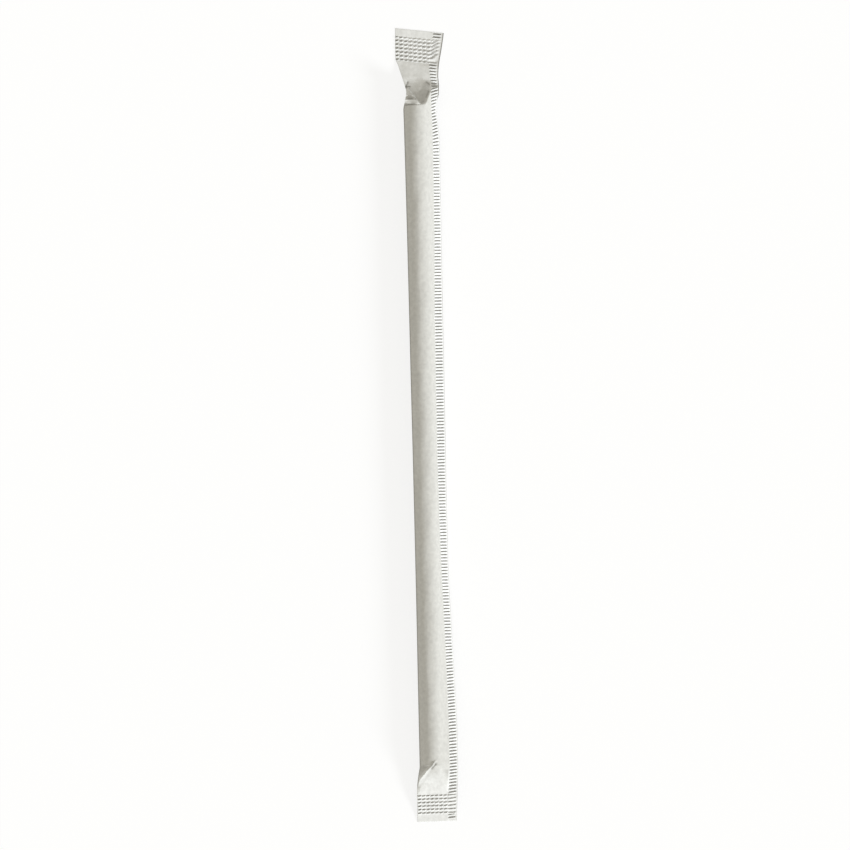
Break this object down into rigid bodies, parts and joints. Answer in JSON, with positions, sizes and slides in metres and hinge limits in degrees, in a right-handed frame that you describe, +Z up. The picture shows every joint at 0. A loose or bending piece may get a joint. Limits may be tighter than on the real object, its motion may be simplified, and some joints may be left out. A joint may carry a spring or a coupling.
{
  "type": "wrapped drinking straw",
  "caption": "Drinking straw sealed in a white paper wrapper with a knurled side seam and crimped flat ends, lying on a surface.",
  "frame": {"origin": "the surface the pack lies on, under the middle of its bounding box", "axes": "+Y along the straw towards its crumpled head end, which lies flat on the surface; +X across it towards the sealed fin; +Z up from the surface"},
  "size_m": [0.0146, 0.2366, 0.0072],
  "materials": {
    "paper": "thin uncoated white paper, matt, lightly creased"
  },
  "bodies": {
    "root": {"wrapped_straw": "paper"}
  },
  "joints": []
}
